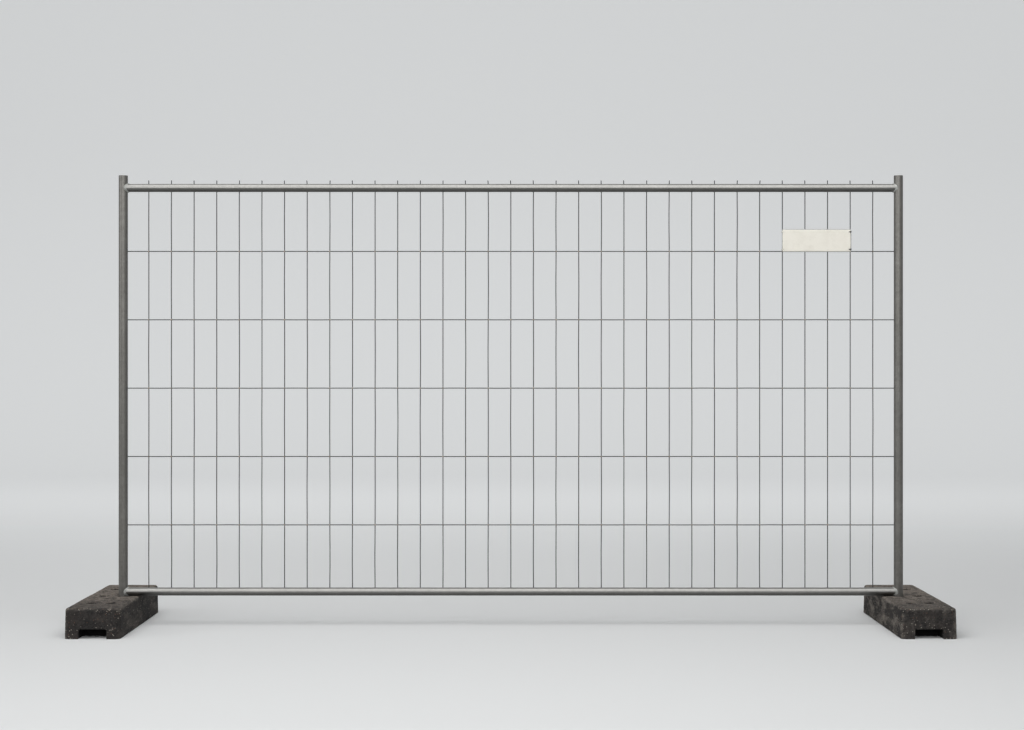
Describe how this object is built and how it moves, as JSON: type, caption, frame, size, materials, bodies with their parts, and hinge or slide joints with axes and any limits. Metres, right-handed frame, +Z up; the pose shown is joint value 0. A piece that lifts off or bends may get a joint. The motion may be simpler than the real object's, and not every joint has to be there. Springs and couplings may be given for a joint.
{
  "type": "temporary fence panel",
  "caption": "Free-standing site fence panel: galvanised tube frame filled with welded wire mesh, with a blank sign plate, standing in heavy moulded block feet that turn on its posts.",
  "frame": {"origin": "on the ground, midway between the posts and midway along the feet", "axes": "+X along the fence to the right as seen from the front, +Y away from the viewer through the mesh, +Z up"},
  "size_m": [3.774, 0.7, 2],
  "materials": {
    "galvanised_tube": "hot-dip galvanised, weathered, satin",
    "galvanised_wire": "galvanised, weathered, satin",
    "zinc_coated_weld": "weld bead under zinc, bright and rippled",
    "sign_plastic": "smooth, slightly glossy, off-white",
    "tie_plastic": "matt black nylon",
    "recycled_rubber": "moulded from recycled granulate, rough, dusty on top"
  },
  "bodies": {
    "panel": {"left_post": "galvanised_tube", "right_post": "galvanised_tube", "top_rail": "galvanised_tube", "bottom_rail": "galvanised_tube", "corner_welds": "zinc_coated_weld", "vertical_wire_01": "galvanised_wire", "vertical_wire_02": "galvanised_wire", "vertical_wire_03": "galvanised_wire", "vertical_wire_04": "galvanised_wire", "vertical_wire_05": "galvanised_wire", "vertical_wire_06": "galvanised_wire", "vertical_wire_07": "galvanised_wire", "vertical_wire_08": "galvanised_wire", "vertical_wire_09": "galvanised_wire", "vertical_wire_10": "galvanised_wire", "vertical_wire_11": "galvanised_wire", "vertical_wire_12": "galvanised_wire", "vertical_wire_13": "galvanised_wire", "vertical_wire_14": "galvanised_wire", "vertical_wire_15": "galvanised_wire", "vertical_wire_16": "galvanised_wire", "vertical_wire_17": "galvanised_wire", "vertical_wire_18": "galvanised_wire", "vertical_wire_19": "galvanised_wire", "vertical_wire_20": "galvanised_wire", "vertical_wire_21": "galvanised_wire", "vertical_wire_22": "galvanised_wire", "vertical_wire_23": "galvanised_wire", "vertical_wire_24": "galvanised_wire", "vertical_wire_25": "galvanised_wire", "vertical_wire_26": "galvanised_wire", "vertical_wire_27": "galvanised_wire", "vertical_wire_28": "galvanised_wire", "vertical_wire_29": "galvanised_wire", "vertical_wire_30": "galvanised_wire", "vertical_wire_31": "galvanised_wire", "vertical_wire_32": "galvanised_wire", "vertical_wire_33": "galvanised_wire", "horizontal_wire_1": "galvanised_wire", "horizontal_wire_2": "galvanised_wire", "horizontal_wire_3": "galvanised_wire", "horizontal_wire_4": "galvanised_wire", "horizontal_wire_5": "galvanised_wire", "sign_plate": "sign_plastic", "sign_ties": "tie_plastic"},
    "left_foot": {"left_foot": "recycled_rubber"},
    "right_foot": {"right_foot": "recycled_rubber"}
  },
  "joints": [
    {"name": "left_foot_swivel", "type": "hinge", "parent": "panel", "child": "left_foot", "pos_m": [-1.725, 0, 0], "axis": [0, 0, 1], "continuous": true},
    {"name": "right_foot_swivel", "type": "hinge", "parent": "panel", "child": "right_foot", "pos_m": [1.725, 0, 0], "axis": [0, 0, 1], "continuous": true}
  ]
}
